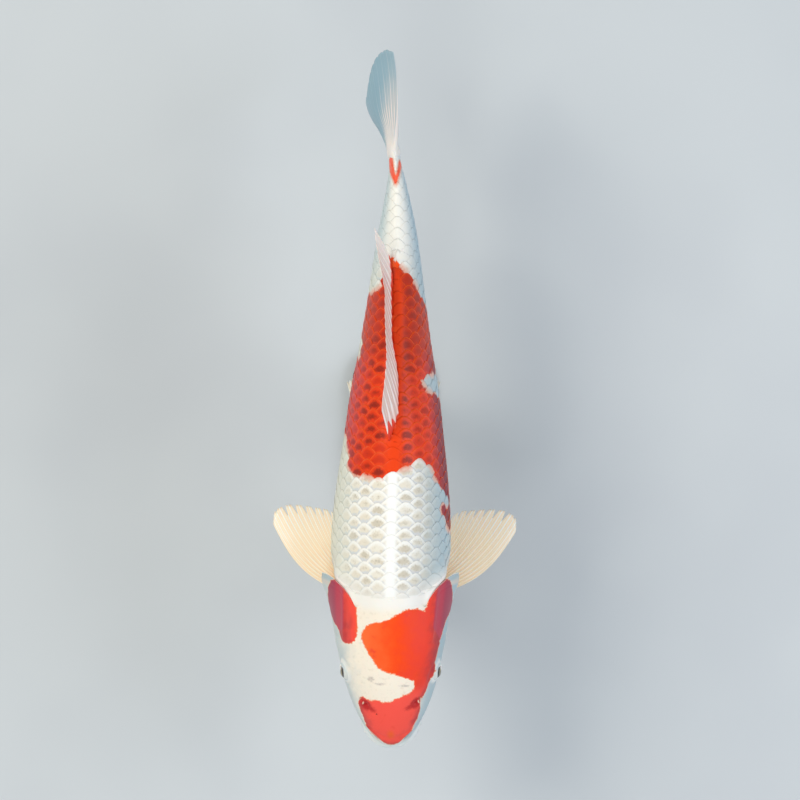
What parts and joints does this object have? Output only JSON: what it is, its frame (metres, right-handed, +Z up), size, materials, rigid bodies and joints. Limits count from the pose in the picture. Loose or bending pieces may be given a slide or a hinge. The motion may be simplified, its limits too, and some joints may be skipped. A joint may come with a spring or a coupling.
{
  "type": "koi carp",
  "caption": "Still life-size model of a white koi carp with red patches, swimming level with pectoral fins spread, held over a flat base by short rods.",
  "frame": {"origin": "centre of the flat underside of the stand's base", "axes": "+Z up; +Y along the fish from snout to tail; +X towards the fish's own left side"},
  "size_m": [0.2109, 0.5975, 0.2755],
  "materials": {
    "skin": "smooth wet-looking head skin, cream white with coral red patches",
    "scales": "overlapping glossy scales, white with coral red patches",
    "eye": "wet dark eye with a pale ring",
    "fin": "thin rayed fin, cream at the root and paler at the edge",
    "stand_base": "satin black base plate",
    "stand_rod": "brushed steel rod"
  },
  "bodies": {
    "root": {"head": "skin", "jaw_lower": "skin", "trunk": "scales", "tail_stalk": "scales", "gill_cover_left": "skin", "gill_cover_right": "skin", "eye_left": "eye", "eye_right": "eye", "barbel_lip_left": "skin", "barbel_lip_right": "skin", "barbel_corner_left": "skin", "barbel_corner_right": "skin", "fin_dorsal": "fin", "fin_tail": "fin", "fin_anal": "fin", "fin_pectoral_left": "fin", "fin_pectoral_right": "fin", "fin_pelvic_left": "fin", "fin_pelvic_right": "fin", "stand_base": "stand_base", "stand_rod_front": "stand_rod", "stand_rod_rear": "stand_rod"}
  },
  "joints": []
}
